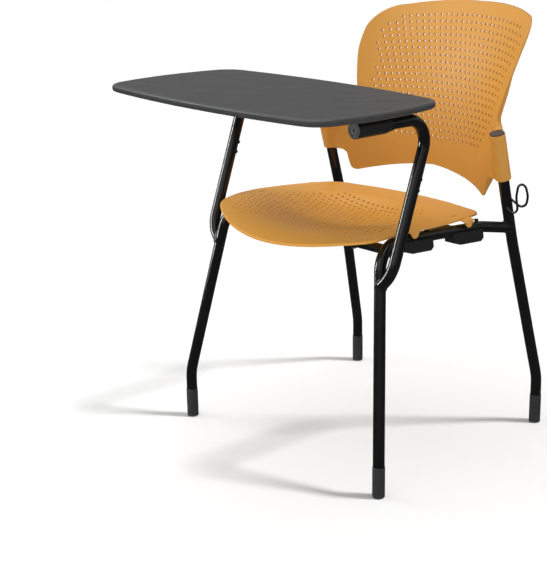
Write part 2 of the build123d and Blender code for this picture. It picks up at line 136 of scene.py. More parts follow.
def make_lamps():
    floor_sun = soft_sun("floor_sun", (-0.60, -0.48, -1.0), 4.1, 9)
    seat_sun = soft_sun("seat_sun", (0.30, 0.80, -0.58), 1.6, 40)
    seat_sun.visible_glossy = False
    soft_sun("top_softbox", (0.10, 0.06, -1.0), 1.75, 70)
    strip = area_light("left_strip", (-1.55, -1.35, 1.05), chair_middle, (0.16, 1.7), 50)
    strip.visible_diffuse = False
    area_light("high_softbox", (-1.7, -1.05, 2.0), (0, 0.2, 0.8), (1.0, 0.8), 13)
    area_light("front_fill", (0.5, -2.6, 1.9), chair_middle, (2.0, 1.6), 8)
    return floor_sun, seat_sun, strip


def make_sky():
    """An even sky, which glossy surfaces see darker near the horizon."""
    world = bpy.data.worlds.new("white_studio")
    world.use_nodes = True
    tree = world.node_tree
    background = tree.nodes["Background"]
    background.inputs["Color"].default_value = (1, 1, 1, 1)
    rays = tree.nodes.new("ShaderNodeLightPath")
    level = tree.nodes.new("ShaderNodeMapRange")
    level.inputs["To Min"].default_value = sky_level
    tree.links.new(rays.outputs["Is Glossy Ray"], level.inputs["Value"])
    ways = tree.nodes.new("ShaderNodeSeparateXYZ")
    tree.links.new(tree.nodes.new("ShaderNodeTexCoord").outputs["Generated"], ways.inputs[0])
    mirrored_sky = tree.nodes.new("ShaderNodeMapRange")
    for name, number in mirrored_sky_range:
        mirrored_sky.inputs[name].default_value = number
    tree.links.new(ways.outputs["Z"], mirrored_sky.inputs["Value"])
    tree.links.new(mirrored_sky.outputs["Result"], level.inputs["To Max"])
    tree.links.new(level.outputs["Result"], background.inputs["Strength"])
    scene.world = world
    scene.view_settings.view_transform = "Standard"


def make_floor(floor_sun):
    """Plain pale paper, the only thing that the floor's own lamp lights."""
    half = floor_half
    floor_mesh = bpy.data.meshes.new("floor")
    corners = [(-half, -half, 0), (half, -half, 0), (half, half, 0), (-half, half, 0)]
    floor_mesh.from_pydata(corners, [], [(0, 1, 2, 3)])
    floor = bpy.data.objects.new("floor", floor_mesh)
    scene.collection.objects.link(floor)
    paper = bpy.data.materials.new("floor_paper")
    paper.use_nodes = True
    shader = paper.node_tree.nodes["Principled BSDF"]
    shader.inputs["Base Color"].default_value = (floor_grey, floor_grey, floor_grey, 1)
    shader.inputs["Roughness"].default_value = 0.9
    shader.inputs["Specular IOR Level"].default_value = 0.1
    floor.data.materials.append(paper)
    floor.visible_glossy = False
    lit = bpy.data.collections.new("lit_by_floor_sun")
    lit.objects.link(floor)
    floor_sun.light_linking.receiver_collection = lit


def pieces_called(collection_name, *starts):
    """A collection of the mesh objects whose names have one of these beginnings."""
    chosen = bpy.data.collections.new(collection_name)
    for thing in list(scene.objects):
        if thing.type == "MESH" and thing.name.startswith(starts):
            chosen.objects.link(thing)
    return chosen


def aim_lamps(floor_sun, seat_sun, strip):
    """Sets what three lamps light, and lets the floor's lamp cast only the legs' shadows."""
    legs = pieces_called("cast_leg_shadow", "front_leg_tube", "rear_leg_tube", "glide_")
    floor_sun.light_linking.blocker_collection = legs
    seat_sun.light_linking.receiver_collection = pieces_called("lit_by_seat_sun", "seat_")
    tubes = pieces_called("lit_by_strip", "front_", "rear_", "arm_", "ganging", "glide_", "weld_",
                          "pivot_")
    strip.light_linking.receiver_collection = tubes


# ---------------------------------------------------------------- materials
class Material:
    """A procedural finish: a Principled shader with helpers for noise, ramps and bump."""

    def __init__(self, name, roughness, specular=0.5):
        self.material = bpy.data.materials.new(name)
        self.material.use_nodes = True
        self.tree = self.material.node_tree
        self.shader = self.tree.nodes["Principled BSDF"]
        self.set("Specular IOR Level", specular)
        self.set("Roughness", roughness)
        self.coordinates = self.tree.nodes.new("ShaderNodeTexCoord").outputs["Object"]

    def set(self, socket, value):
        self.shader.inputs[socket].default_value = value

    def link(self, output, node_input):
        self.tree.links.new(output, node_input)

    def noise(self, scale, detail=3.0, roughness=0.5):
        node = self.tree.nodes.new("ShaderNodeTexNoise")
        node.inputs["Scale"].default_value = scale
        node.inputs["Detail"].default_value = detail
        node.inputs["Roughness"].default_value = roughness
        self.link(self.coordinates, node.inputs["Vector"])
        return node.outputs["Fac"]

    def cells(self, scale):
        node = self.tree.nodes.new("ShaderNodeTexVoronoi")
        node.inputs["Scale"].default_value = scale
        self.link(self.coordinates, node.inputs["Vector"])
        return node.outputs["Distance"]

    def ramp(self, value, stops):
        node = self.tree.nodes.new("ShaderNodeValToRGB")
        while len(node.color_ramp.elements) < len(stops):
            node.color_ramp.elements.new(0.5)
        for element, (place, colour) in zip(node.color_ramp.elements, stops):
            element.position = place
            element.color = (*colour, 1)
        self.link(value, node.inputs["Fac"])
        return node.outputs["Color"]

    def mix(self, factor, first, second):
        node = self.tree.nodes.new("ShaderNodeMix")
        node.data_type = "RGBA"
        self.link(factor, node.inputs["Factor"])
        for value, socket in ((first, node.inputs[6]), (second, node.inputs[7])):
            if isinstance(value, tuple):
                socket.default_value = (*value, 1)
            else:
                self.link(value, socket)
        return node.outputs[2]

    def spread(self, value, low, high, from_low=0.3, from_high=0.7):
        node = self.tree.nodes.new("ShaderNodeMapRange")
        limits = (("From Min", from_low), ("From Max", from_high), ("To Min", low), ("To Max", high))
        for name, number in limits:
            node.inputs[name].default_value = number
        self.link(value, node.inputs["Value"])
        return node.outputs["Result"]

    def math(self, operation, first, second):
        node = self.tree.nodes.new("ShaderNodeMath")
        node.operation = operation
        for value, socket in ((first, node.inputs[0]), (second, node.inputs[1])):
            if isinstance(value, (int, float)):
                socket.default_value = value
            else:
                self.link(value, socket)
        return node.outputs[0]

    def height(self):
        """The height above the floor of each point at rest."""
        node = self.tree.nodes.new("ShaderNodeSeparateXYZ")
        self.link(self.coordinates, node.inputs[0])
        return node.outputs["Z"]

    def bump(self, value, depth, strength=1.0):
        node = self.tree.nodes.new("ShaderNodeBump")
        node.inputs["Distance"].default_value = depth
        node.inputs["Strength"].default_value = strength
        self.link(value, node.inputs["Height"])
        self.link(node.outputs["Normal"], self.shader.inputs["Normal"])


def powder_coat():
    m = Material("black_powder_coat", 0.2)
    m.link(m.ramp(m.noise(35), ((0.3, (0.0045, 0.0045, 0.005)), (0.75, (0.0075, 0.0075, 0.008)))),
           m.shader.inputs["Base Color"])
    m.link(m.spread(m.noise(240), 0.12, 0.20), m.shader.inputs["Roughness"])
    m.bump(m.noise(900, 2.0), 0.00002)
    return m.material


def orange_shell():
    m = Material("orange_shell", 0.45, 0.45)
    broad = m.ramp(m.noise(7, 2.0), ((0.3, (0.675, 0.310, 0.045)), (0.72, (0.715, 0.333, 0.051))))
    fleck = m.ramp(m.noise(1100, 2.0), ((0.35, (0.64, 0.29, 0.039)), (0.65, (0.735, 0.347, 0.057))))
    m.link(m.mix(m.spread(m.noise(300), 0.25, 0.45), broad, fleck), m.shader.inputs["Base Color"])
    m.link(m.spread(m.noise(420, 4.0), 0.40, 0.50), m.shader.inputs["Roughness"])
    m.bump(m.noise(1300, 3.0), 0.00004)
    return m.material


def tablet_laminate():
    m = Material("tablet_laminate", 0.5, 0.3)
    speckle = m.ramp(m.noise(900, 3.0, 0.6),
                     ((0.35, (0.044, 0.044, 0.045)), (0.62, (0.058, 0.058, 0.059))))
    clouded = m.ramp(m.noise(9, 3.0), ((0.3, (0.049, 0.049, 0.050)), (0.7, (0.054, 0.054, 0.055))))
    m.link(m.mix(m.spread(m.noise(60), 0.35, 0.65), clouded, speckle), m.shader.inputs["Base Color"])
    m.link(m.spread(m.noise(18, 5.0, 0.65), 0.44, 0.56), m.shader.inputs["Roughness"])
    m.bump(m.cells(700), 0.00003)
    return m.material


def tablet_edge():
    m = Material("tablet_edge", 0.4, 0.45)
    m.link(m.ramp(m.noise(500), ((0.35, (0.046, 0.047, 0.049)), (0.7, (0.060, 0.061, 0.063)))),
           m.shader.inputs["Base Color"])
    m.link(m.spread(m.noise(140, 4.0), 0.34, 0.46), m.shader.inputs["Roughness"])
    m.bump(m.noise(1200), 0.00002)
    return m.material


def moulded(name, dark, light, roughness, grain=1100, specular=0.4):
    """A plain moulded plastic or rubber with a fine spark-eroded grain."""
    m = Material(name, roughness, specular)
    m.link(m.ramp(m.noise(420, 4.0), ((0.35, dark), (0.7, light))), m.shader.inputs["Base Color"])
    m.link(m.spread(m.noise(90, 4.0), roughness - 0.06, roughness + 0.07), m.shader.inputs["Roughness"])
    m.bump(m.noise(grain, 3.0), 0.00005)
    return m.material


def glide_plastic():
    """Dark nylon, scuffed pale where it drags on the floor."""
    m = Material("glide_plastic", 0.5, 0.4)
    body = m.ramp(m.noise(380, 4.0), ((0.35, (0.03, 0.03, 0.032)), (0.7, (0.042, 0.042, 0.045))))
    low = m.spread(m.height(), 1.0, 0.0, 0.0, 0.007)
    scuffs = m.math("MULTIPLY", low, m.spread(m.noise(260, 5.0, 0.7), 0.0, 1.0, 0.45, 0.7))
    m.link(m.mix(scuffs, body, (0.13, 0.128, 0.125)), m.shader.inputs["Base Color"])
    m.link(m.spread(m.noise(120, 4.0), 0.42, 0.6), m.shader.inputs["Roughness"])
    m.bump(m.noise(800, 3.0), 0.00006)
    return m.material


def zinc_steel():
    m = Material("zinc_steel", 0.3)
    m.set("Metallic", 1.0)
    m.link(m.ramp(m.noise(600, 4.0), ((0.3, (0.42, 0.42, 0.43)), (0.7, (0.56, 0.56, 0.57)))),
           m.shader.inputs["Base Color"])
    m.link(m.spread(m.noise(900, 2.0), 0.24, 0.4), m.shader.inputs["Roughness"])
    m.bump(m.noise(1500), 0.00001)
    return m.material


finishes = {
    "black_powder_coat": powder_coat(),
    "orange_shell": orange_shell(),
    "tablet_laminate": tablet_laminate(),
    "tablet_edge": tablet_edge(),
    "glide_plastic": glide_plastic(),
    "zinc_steel": zinc_steel(),
    "pivot_plastic": moulded("pivot_plastic", (0.012, 0.012, 0.013), (0.018, 0.018, 0.019), 0.42),
    "bush_plastic": moulded("bush_plastic", (0.66, 0.66, 0.62), (0.74, 0.74, 0.70), 0.35),
    "cap_plastic": moulded("cap_plastic", (0.058, 0.036, 0.03), (0.078, 0.05, 0.042), 0.45),
    "black_rubber": moulded("black_rubber", (0.012, 0.012, 0.012), (0.02, 0.02, 0.02), 0.62, 700, 0.3),
}


def finish_cad_nodes():
    for part in frame["record"]["subparts"]:
        node = nodes[part["node"]]
        node.data.materials.clear()
        node.data.materials.append(finishes[part["material_slot"]])


# ---------------------------------------------------------------- mesh helpers
def add_piece(name, vertices, faces, slot_name, body="frame", normals=None):
    mesh = bpy.data.meshes.new(name)
    mesh.from_pydata([tuple(v) for v in vertices], [], faces)
    mesh.polygons.foreach_set("use_smooth", [True] * len(mesh.polygons))
    if normals is not None:
        mesh.normals_split_custom_set_from_vertices([tuple(n) for n in normals])
    mesh.validate()
    mesh.materials.append(finishes[slot_name])
    piece = bpy.data.objects.new(name, mesh)
    scene.collection.objects.link(piece)
    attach(piece, body)
    return piece


def three_point_arc(start, middle, end, step):
    """Points along the circular arc through three points, both ends included."""
    (ax, ay), (bx, by), (cx, cy) = start, middle, end
    d = 2 * (ax * (by - cy) + bx * (cy - ay) + cx * (ay - by))
    a2, b2, c2 = ax * ax + ay * ay, bx * bx + by * by, cx * cx + cy * cy
    ox = (a2 * (by - cy) + b2 * (cy - ay) + c2 * (ay - by)) / d
    oy = (a2 * (cx - bx) + b2 * (ax - cx) + c2 * (bx - ax)) / d
    radius = math.hypot(ax - ox, ay - oy)
    first = math.atan2(ay - oy, ax - ox)
    turn = (math.atan2(cy - oy, cx - ox) - first) % (2 * math.pi)
    if (math.atan2(by - oy, bx - ox) - first) % (2 * math.pi) > turn:
        turn -= 2 * math.pi
    count = max(2, math.ceil(abs(turn) * radius / step))
    angles = [first + turn * k / count for k in range(count + 1)]
    return [(ox + radius * math.cos(t), oy + radius * math.sin(t)) for t in angles]


def flowing_curve(points, first_way, last_way, step):
    """A smooth curve through the points that starts and ends along the given directions."""
    points = [Vector(p) for p in points]
    ways = [Vector(first_way).normalized()]
    ways += [(c - a).normalized() for a, c in zip(points, points[2:])]
    ways.append(Vector(last_way).normalized())
    line = [points[0]]
    for a, b, wa, wb in zip(points, points[1:], ways, ways[1:]):
        reach = (b - a).length
        count = max(2, math.ceil(reach / step)) + 1
        line += interpolate_bezier(a, a + wa * reach / 3, b - wb * reach / 3, b, count)[1:]
    return [tuple(p[:2]) for p in line]


def joined(*runs):
    """Runs of points, end to end, without the doubled points where they meet."""
    line = list(runs[0])
    for run in runs[1:]:
        line += run[1:] if math.dist(line[-1], run[0]) < 1e-3 else run
    return line


def inward_ways(loop):
    """The unit direction into a counter-clockwise loop at each of its points."""
    loop = np.array(loop)
    along = np.roll(loop, -1, 0) - np.roll(loop, 1, 0)
    along /= np.linalg.norm(along, axis=1)[:, None]
    return np.stack([-along[:, 1], along[:, 0]], 1)


def inside(points, loop):
    """Which points lie inside the loop, by the even-odd rule."""
    found = np.zeros(len(points), bool)
    for (ax, ay), (bx, by) in zip(loop, np.roll(loop, -1, 0)):
        crosses = (points[:, 1] < ay) != (points[:, 1] < by)
        if crosses.any():
            x = ax + (points[:, 1] - ay) * (bx - ax) / (by - ay if by != ay else 1e-12)
            found ^= crosses & (points[:, 0] < x)
    return found


def nearest(points, others):
    gaps = np.full(len(points), 1e9)
    for start in range(0, len(others), 200):
        block = np.array(others[start:start + 200])
        gaps = np.minimum(gaps, np.linalg.norm(points[:, None] - block[None], axis=2).min(1))
    return gaps


class Moulding:
    """A thin moulded sheet: a flat outline with holes, laid on a curved surface and given thickness.

    surface(u, v) gives a front point in mm, sink(u, v, normal) the way into the thickness, and
    rim(u, v) how deep the edge is there.
    """

    round_steps = 3
    edge_round = 1.3
    hole_round = 0.45
    lip = 3.0
    foot_round = 0.6

    def __init__(self, surface, sink, rim, gauge):
        self.surface, self.sink, self.rim, self.gauge = surface, sink, rim, gauge
        self.points, self.normals, self.faces = [], [], []

    def frame_at(self, u, v):
        """Point, normal and the two surface directions at (u, v)."""
        h = 0.05
        point = np.array(self.surface(u, v))
        along_u = (np.array(self.surface(u + h, v)) - np.array(self.surface(u - h, v))) / (2 * h)
        along_v = (np.array(self.surface(u, v + h)) - np.array(self.surface(u, v - h))) / (2 * h)
        normal = np.cross(along_u, along_v)
        return point, normal / np.linalg.norm(normal), along_u, along_v

    def add(self, point, normal):
        self.points.append(point)
        self.normals.append(normal / np.linalg.norm(normal))
        return len(self.points) - 1

    def stitch(self, first, second, flip=False):
        """Quads between two closed rings of vertices."""
        for k in range(len(first)):
            j = (k + 1) % len(first)
            quad = (first[k], first[j], second[j], second[k])
            self.faces.append(quad[::-1] if flip else quad)

    def ring(self, loop, ways, inset, depth, tilt):
        """One ring of an edge: tilt 0 faces out of the surface, 90 outward, 180 to the back."""
        made = []
        for k, ((u, v), (wu, wv)) in enumerate(zip(loop, ways)):
            shift = inset[k] if hasattr(inset, "__len__") else inset
            sunk = depth[k] if hasattr(depth, "__len__") else depth
            point, normal, along_u, along_v = self.frame_at(u + wu * shift, v + wv * shift)
            into = self.sink(u, v, normal)
            outward = -(along_u * wu + along_v * wv)
            outward -= normal * np.dot(outward, normal)
            outward /= np.linalg.norm(outward)
            facing = normal * math.cos(math.radians(tilt)) + outward * math.sin(math.radians(tilt))
            made.append(self.add(point + into * sunk, facing))
        return made

    def build(self, outline, holes, grid):
        outline = np.array(outline)
        ways = inward_ways(outline)
        depth = np.array([self.rim(u, v) for u, v in outline])
        extra = np.minimum(self.foot_round, (depth - self.gauge) * 0.8)
        loops = [outline + ways * self.edge_round] + [np.array(h) for h in holes]

        flat, edges, owner = [], [], []
        for number, loop in enumerate(loops):
            base = len(flat)
            flat += [Vector(p) for p in loop]
            owner += [number] * len(loop)
            edges += [(base + k, base + (k + 1) % len(loop)) for k in range(len(loop))]
        flat += [Vector(p) for p in grid]
        owner += [-1] * len(grid)
        found, _, faces, origin, _, _ = delaunay_2d_cdt(flat, edges, [], 1, 1e-6, True)
        source = [o[0] for o in origin]
        faces = [[source[i] for i in face] for face in faces]
        middles = np.array([sum((flat[i] for i in face), Vector((0, 0))) / 3 for face in faces])
        triangles = []
        for face, kept in zip(faces, inside(middles, np.array(loops[0]))):
            owners = {owner[i] for i in face}
            if kept and not (len(owners) == 1 and owners.pop() > 0):
                triangles.append(face)

        front, back = [], []
        edge_count = len(outline)
        for k, p in enumerate(flat):
            point, normal, _, _ = self.frame_at(p.x, p.y)
            front.append(self.add(point, normal))
            if k < edge_count:
                u, v = outline[k] + ways[k] * self.lip
                point, normal, _, _ = self.frame_at(u, v)
                back.append(self.add(point + self.sink(u, v, normal) * self.gauge, -normal))
            else:
                back.append(self.add(point + self.sink(p.x, p.y, normal) * self.gauge, -normal))
        for a, b, c in triangles:
            self.faces.append((front[a], front[b], front[c]))
            self.faces.append((back[c], back[b], back[a]))

        rings = [front[:edge_count]]
        for step in range(1, self.round_steps + 1):
            angle = math.radians(90 * step / self.round_steps)
            inset = self.edge_round * (1 - math.sin(angle))
            sunk = self.edge_round * (1 - math.cos(angle))
            rings.append(self.ring(outline, ways, inset, sunk, math.degrees(angle)))
        rings.append(self.ring(outline, ways, 0.0, depth - extra, 90))
        rings.append(self.ring(outline, ways, extra, depth, 180))
        rings.append(self.ring(outline, ways, self.lip - extra, depth, 180))
        rings.append(self.ring(outline, ways, self.lip, depth - extra, 250))
        rings.append(back[:edge_count])
        for first, second in zip(rings, rings[1:]):
            self.stitch(first, second, flip=True)

        base = edge_count
        for hole in holes:
            hole = np.array(hole)
            size = len(hole)
            ways_in = hole - hole.mean(0)
            ways_in /= np.linalg.norm(ways_in, axis=1)[:, None]
            lean = self.hole_round
            upper = self.ring(hole, -ways_in, lean, lean, 90)
            lower = self.ring(hole, -ways_in, lean, self.gauge - lean, 90)
            for made in (upper, lower):
                for index in made:
                    self.normals[index] = -self.normals[index]
            rings = [front[base:base + size], upper, lower, back[base:base + size]]
            for first, second in zip(rings, rings[1:]):
                self.stitch(first, second)
            base += size

    def piece(self, name):
        vertices = [at(*p) for p in self.points]
        return add_piece(name, vertices, self.faces, "orange_shell", normals=self.normals)


def hex_grid(low, high, step_u, step_v):
    """Staggered points over a rectangle."""
    rows = np.arange(low[1], high[1], step_v)
    found = []
    for j, v in enumerate(rows):
        shift = step_u / 2 if j % 2 else 0.0
        found += [(u, v) for u in np.arange(low[0] + shift, high[0], step_u)]
    return np.array(found)


def clear_grid(points, outline, hole_centres, edge_gap, hole_gap):
    """The grid points well inside the outline and off the holes."""
    points = points[inside(points, np.array(outline))]
    points = points[nearest(points, outline) > edge_gap]
    if len(hole_centres):
        points = points[nearest(points, hole_centres) > hole_gap]
    return points


def oval(centre, radius_u, radius_v, count=12):
    angles = [2 * math.pi * k / count for k in range(count)]
    return [(centre[0] + radius_u * math.cos(t), centre[1] + radius_v * math.sin(t)) for t in angles]


def smooth_step(value):
    value = min(max(value, 0.0), 1.0)
    return value * value * (3 - 2 * value)


# ---------------------------------------------------------------- seat
seat_gauge_mm = 3.5
seat_rim_depth_mm = 5.0
seat_pitch_mm = (13.6, 12.8)
hole_radius_mm = 2.7
hole_cut_mm = hole_radius_mm + Moulding.hole_round
seat_middle_y_mm = -50.0
seat_half_x_mm = 229.0
seat_half_front_mm = 225.0
seat_half_rear_mm = 160.0
seat_rim_mm = 469.5
seat_tilt = 0.05
seat_dish_mm = 23.0
seat_side_rise_mm = 4.0
seat_front_drop_mm = 36.0
seat_front_corner_mm = (218, -197)
seat_rear_corner_mm = (195, 126)
seat_front_y_mm = -276
seat_rear_y_mm = 160
seat_side_mm = (229, -45)
seat_outline_step_mm = 5.0
corner_cuts_mm = (23.0, 30.0, 30.0, 23.0)
slot_half_mm = (2.5, 8.5)
slot_places_mm = [(side * x, y) for side in (-1, 1) for x, y in ((206.0, -93.0), (191.0, 50.0))]


def seat_height(x, y):
    """Top face of the seat: a raised border round a pan, steep at the rear and rolled down in front."""
    half_length = seat_half_front_mm if y < seat_middle_y_mm else seat_half_rear_mm
    radius = math.hypot(x / seat_half_x_mm, (y - seat_middle_y_mm) / half_length)
    steepness = 1 + 1.5 * smooth_step((y + 60.0) / 100.0)
    border = smooth_step((radius - 0.20) / 0.66) ** steepness
    roll = max(0.0, (-130.0 - y) / 150.0)
    rise = smooth_step((abs(x) - 140) / 85) * smooth_step((y + 190) / 110) * smooth_step((175 - y) / 90)
    rim = seat_rim_mm - seat_tilt * (y - seat_middle_y_mm) + seat_side_rise_mm * rise
    return rim - seat_dish_mm * (1 - border) - seat_front_drop_mm * roll * roll


def seat_surface(x, y):
    return x, y, seat_height(x, y)


def trimmed(run, length, from_end):
    """A run of points with a length cut off one end, and the end's place and direction."""
    run = [Vector(p) for p in (reversed(run) if from_end else run)]
    while length > (run[1] - run[0]).length:
        length -= (run[1] - run[0]).length
        run.pop(0)
    way = (run[1] - run[0]).normalized()
    run[0] = run[0] + way * length
    return [tuple(p) for p in (reversed(run) if from_end else run)], way


def rounded_corners(runs, lengths):
    """A closed loop of runs whose corners are each cut back and bridged by a smooth curve."""
    count = len(runs)
    for k in range(count):
        runs[k], _ = trimmed(runs[k], lengths[k - 1], False)
        runs[k], _ = trimmed(runs[k], lengths[k], True)
    loop = []
    for k in range(count):
        here, after = runs[k], runs[(k + 1) % count]
        leave = (Vector(here[-1]) - Vector(here[-2])).normalized()
        arrive = (Vector(after[1]) - Vector(after[0])).normalized()
        a, b = Vector(here[-1]), Vector(after[0])
        reach = (b - a).length * 0.36
        bridge = interpolate_bezier(a, a + leave * reach, b - arrive * reach, b, 10)
        loop += here[:-1] + [tuple(p[:2]) for p in bridge[:-1]]
    return loop


def seat_outline():
    """Plan of the seat: four bowed edges, counter-clockwise from the front one, with rounded corners."""
    step = seat_outline_step_mm
    (fx, fy), (rx, ry), (sx, sy) = seat_front_corner_mm, seat_rear_corner_mm, seat_side_mm
    front = three_point_arc((-fx, fy), (0, seat_front_y_mm), (fx, fy), step)
    left = three_point_arc((fx, fy), (sx, sy), (rx, ry), step)
    rear = three_point_arc((rx, ry), (0, seat_rear_y_mm), (-rx, ry), step)
    right = three_point_arc((-rx, ry), (-sx, sy), (-fx, fy), step)
    return rounded_corners([front, left, rear, right], corner_cuts_mm)


def seat_hole_places():
    """A staggered grid of holes over the dished pan."""
    pitch_x, pitch_y = seat_pitch_mm
    places = []
    for row in range(-16, 8):
        y = -26.0 + row * pitch_y
        shift = 0.5 if row % 2 else 0.0
        for column in range(-16, 17):
            x = (column + shift) * pitch_x
            side = 195.0 - 0.16 * max(0.0, y + 145.0) - 0.5 * max(0.0, -145.0 - y)
            if -208.0 < y < 58.0 - 1.1 * max(0.0, abs(x) - 105.0) and abs(x) < side:
                places.append((x, y))
    return places


def slot_loop(x, y):
    half_width, half_length = slot_half_mm
    straight = half_length - half_width
    ends = [math.radians(a) for a in range(0, 181, 30)]
    upper = [(x + half_width * math.cos(t), y + straight + half_width * math.sin(t)) for t in ends]
    lower = [(x - half_width * math.cos(t), y - straight - half_width * math.sin(t)) for t in ends]
    return upper + lower


def make_seat():
    outline = seat_outline()
    centres = seat_hole_places()
    holes = [oval(c, hole_cut_mm, hole_cut_mm) for c in centres]
    slots = [slot_loop(*p) for p in slot_places_mm]
    grid = clear_grid(hex_grid((-245, -285), (245, 180), 8.0, 7.0), outline, centres, 5.0, 4.6)
    grid = grid[nearest(grid, [p for s in slots for p in s]) > 2.5]
    moulding = Moulding(seat_surface, lambda u, v, n: np.array((0, 0, -1.0)),
                        lambda u, v: seat_rim_depth_mm, seat_gauge_mm)
    moulding.build(outline, holes + slots, grid)
    seat = moulding.piece("seat_moulding")
    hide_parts("seat_shell")


# ---------------------------------------------------------------- seat lugs and bosses
lug_places_mm = [(side, y) for side in (-1, 1) for y in (-102.0, 52.0)]
lug_gauge_mm = 4.5
lug_inner_x_mm = 225.25
lug_edge_x_mm = 218.0
lug_shelf_x_mm = 211.0
lug_drop_mm = 14.0
lug_bevel_mm = 0.7
shelf_rise_mm = 1.0
shelf_fall_mm = 2.6
shelf_short_mm = 0.4
boss_x_mm = 120.0
boss_radius_mm = 9.0
boss_chamfer_mm = 0.8
boss_sides = 32
crossbars_mm = ((-152.0, 441.0), (60.0, 433.5))
crossbar_radius_mm = 9.5


def extruded(mesh, profile, start, end, fall=0.0):
    """A closed block from a (Y, Z) profile between two X places in mm, which may fall on its way out."""
    inner = [mesh.verts.new(at(start, y, z)) for y, z in profile]
    outer = [mesh.verts.new(at(end, y, z - fall)) for y, z in profile]
    mesh.faces.new(inner[::-1])
    mesh.faces.new(outer)
    for k in range(len(profile)):
        j = (k + 1) % len(profile)
        mesh.faces.new((inner[k], inner[j], outer[j], outer[k]))


def make_seat_lugs():
    """The four lugs at the seat's sides that locate it on the rails, each on a short shelf."""
    mesh = bmesh.new()
    for side, y in lug_places_mm:
        top = seat_height(lug_edge_x_mm, y) - seat_gauge_mm / 2
        tip = top - lug_drop_mm - seat_gauge_mm / 2
        outline = ((-13.5, top - 1.6), (-13, top - 3), (-5, tip + 2), (-2.5, tip), (3.5, tip),
                   (6.5, tip + 2.5), (12, top - 4), (13.5, top - 1.6))
        shelf = ((-14, top), (-14, top - 3), (14, top - 3), (14, top))
        outer = side * (lug_inner_x_mm + lug_gauge_mm)
        extruded(mesh, [(y + p, z) for p, z in outline], side * lug_inner_x_mm, outer)
        extruded(mesh, [(y + p, z + shelf_rise_mm) for p, z in shelf], side * lug_shelf_x_mm,
                 outer - side * shelf_short_mm, shelf_fall_mm)
    bmesh.ops.recalc_face_normals(mesh, faces=mesh.faces)
    bmesh.ops.bevel(mesh, geom=mesh.edges[:], offset=lug_bevel_mm * MM, segments=2, affect="EDGES",
                    profile=0.6)
    add_bmesh("seat_lugs", mesh, "orange_shell")


def make_seat_bosses():
    """Round posts under the seat that stand on the crossbars and take the seat's screws."""
    mesh = bmesh.new()
    for y, z in crossbars_mm:
        foot = z + crossbar_radius_mm - 2.0
        for x in (-boss_x_mm, boss_x_mm):
            top = seat_height(x, y) - seat_gauge_mm / 2
            angles = [2 * math.pi * k / boss_sides for k in range(boss_sides)]
            levels = ((boss_radius_mm - boss_chamfer_mm, foot), (boss_radius_mm, foot + boss_chamfer_mm),
                      (boss_radius_mm, top))
            rings = []
            for radius, height in levels:
                ring = [at(x + radius * math.cos(t), y + radius * math.sin(t), height) for t in angles]
                rings.append([mesh.verts.new(point) for point in ring])
            for low, high in zip(rings, rings[1:]):
                for k in range(boss_sides):
                    j = (k + 1) % boss_sides
                    mesh.faces.new((low[k], low[j], high[j], high[k]))
            mesh.faces.new(rings[0][::-1])
            mesh.faces.new(rings[-1])
    add_bmesh("seat_bosses", mesh, "orange_shell")


def add_bmesh(name, mesh, slot_name, body="frame", sharp_angle=38.0):
    """Turns a bmesh into a piece with its sharp edges marked."""
    limit = math.radians(sharp_angle)
    for edge in mesh.edges:
        edge.smooth = not (len(edge.link_faces) == 2 and edge.calc_face_angle(0) > limit)
    for face in mesh.faces:
        face.smooth = True
    data = bpy.data.meshes.new(name)
    mesh.to_mesh(data)
    mesh.free()
    data.materials.append(finishes[slot_name])
    piece = bpy.data.objects.new(name, data)
    scene.collection.objects.link(piece)
    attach(piece, body)


# ---------------------------------------------------------------- back
back_gauge_mm = 5.3
socket_radius_mm = 15.8
socket_x_mm = 240.0
socket_ends_mm = (534.0, 625.5)
upright_lean = 0.265
upright_knee_mm = (172.5, 403.0)
blend_start_mm = 200.0
blend_length_mm = 38.0
wrap_start = math.radians(-50)
wrap_end = math.radians(275)
slant = math.sqrt(1 + upright_lean ** 2)
wrap_mm = blend_start_mm + blend_length_mm
wrap_last_mm = wrap_mm + (wrap_end - wrap_start) * socket_radius_mm
back_pitch_mm = (13.2, 13.47)
back_row_halves = (12, 13.5, 14, 13.5, 14, 13.5, 13, 12.5, 13, 12.5, 13, 12.5, 12, 12.5, 12, 11.5, 11, 10.5,
                   10)
back_spine_mm = (252.0, 44.6, 11.7, 1.0)
back_spine_from_mm = 700.0
back_curve = (1.17e-3, 1.21e-8)
back_hole_top_mm = 817.65


def back_depth(x, z):
    """How far behind the feet's middle the back's front face lies."""
    h = (z - back_spine_from_mm) / 100.0
    base, slope, bend, twist = back_spine_mm
    square, fourth = back_curve
    spine = base + slope * h + bend * h * h + twist * h ** 3
    return spine - square * x * x - fourth * x ** 4


def upright_y(z):
    return upright_knee_mm[0] - (z - upright_knee_mm[1]) * upright_lean


def socket_point(angle, z):
    """A point round the socket at one height; angle 0 is its front and 90 degrees its outer side."""
    return (socket_x_mm + socket_radius_mm * math.sin(angle),
            upright_y(z) - socket_radius_mm * slant * math.cos(angle), z)


